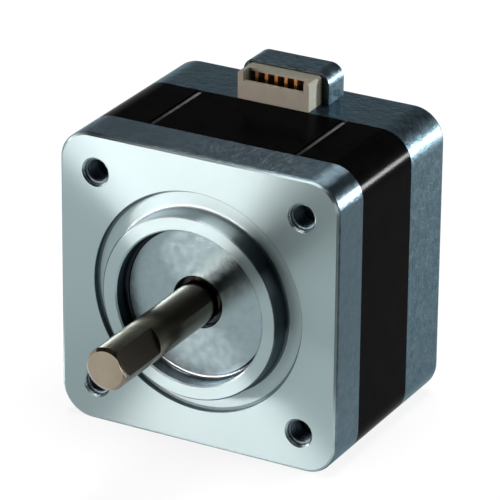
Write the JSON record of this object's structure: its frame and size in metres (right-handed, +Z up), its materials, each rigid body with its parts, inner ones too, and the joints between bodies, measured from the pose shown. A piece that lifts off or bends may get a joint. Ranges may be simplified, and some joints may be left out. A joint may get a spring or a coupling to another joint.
{
  "type": "stepper motor",
  "caption": "Square-frame hybrid stepper motor with a raised pilot ring, D-cut output shaft, corner mounting threads, black laminated stator and a plug connector on top.",
  "frame": {"origin": "centre of the mounting face, on the shaft axis", "axes": "-Y along the output shaft away from the motor, +Z up towards the connector, +X to the right seen from the shaft end"},
  "size_m": [0.0352, 0.046, 0.039],
  "materials": {
    "flange_metal": "machined, fine turned lines",
    "cover_metal": "cast, blasted",
    "lamination": "black, satin, fine sheet edges",
    "insulator": "moulded",
    "winding": "enamelled copper wire",
    "shaft_steel": "ground",
    "rotor_iron": "ground laminations",
    "magnet": "sintered",
    "spacer": "turned",
    "bearing_steel": "polished",
    "cage": "pressed",
    "shield": "pressed",
    "spring_steel": "tempered",
    "screw_steel": "zinc plated",
    "connector": "ivory, moulded",
    "contact": "tin and copper",
    "board": "glass-fibre board"
  },
  "bodies": {
    "housing": {"front_flange": "flange_metal", "rear_cover": "cover_metal", "stator_core": "lamination", "front_insulator": "insulator", "rear_insulator": "insulator", "winding_1": "winding", "winding_2": "winding", "winding_3": "winding", "winding_4": "winding", "winding_5": "winding", "winding_6": "winding", "winding_7": "winding", "winding_8": "winding", "front_bearing_outer_ring": "bearing_steel", "front_bearing_front_shield": "shield", "front_bearing_rear_shield": "shield", "rear_bearing_outer_ring": "bearing_steel", "rear_bearing_front_shield": "shield", "rear_bearing_rear_shield": "shield", "wave_washer": "spring_steel", "assembly_screw_1": "screw_steel", "assembly_screw_2": "screw_steel", "assembly_screw_3": "screw_steel", "assembly_screw_4": "screw_steel", "connector_housing": "connector", "contact_pin_1": "contact", "contact_pin_2": "contact", "contact_pin_3": "contact", "contact_pin_4": "contact", "contact_pin_5": "contact", "contact_pin_6": "contact", "terminal_board": "board"},
    "rotor": {"shaft": "shaft_steel", "front_rotor_cup": "rotor_iron", "rear_rotor_cup": "rotor_iron", "rotor_magnet": "magnet", "front_spacer": "spacer", "rear_spacer": "spacer", "front_bearing_inner_ring": "bearing_steel", "rear_bearing_inner_ring": "bearing_steel"},
    "front_ball_set": {"front_bearing_balls": "bearing_steel", "front_bearing_cage": "cage"},
    "rear_ball_set": {"rear_bearing_balls": "bearing_steel", "rear_bearing_cage": "cage"}
  },
  "joints": [
    {"name": "rotor_spin", "type": "hinge", "parent": "housing", "child": "rotor", "pos_m": [0, 0, 0], "axis": [0, -1, 0], "continuous": true},
    {"name": "front_ball_orbit", "type": "hinge", "parent": "housing", "child": "front_ball_set", "pos_m": [0, 0.0033, 0], "axis": [0, -1, 0], "continuous": true},
    {"name": "rear_ball_orbit", "type": "hinge", "parent": "housing", "child": "rear_ball_set", "pos_m": [0, 0.021, 0], "axis": [0, -1, 0], "continuous": true}
  ],
  "couplings": [
    {"joint": "front_ball_orbit", "follows": "rotor_spin", "ratio": 0.3911},
    {"joint": "rear_ball_orbit", "follows": "rotor_spin", "ratio": 0.3911}
  ]
}
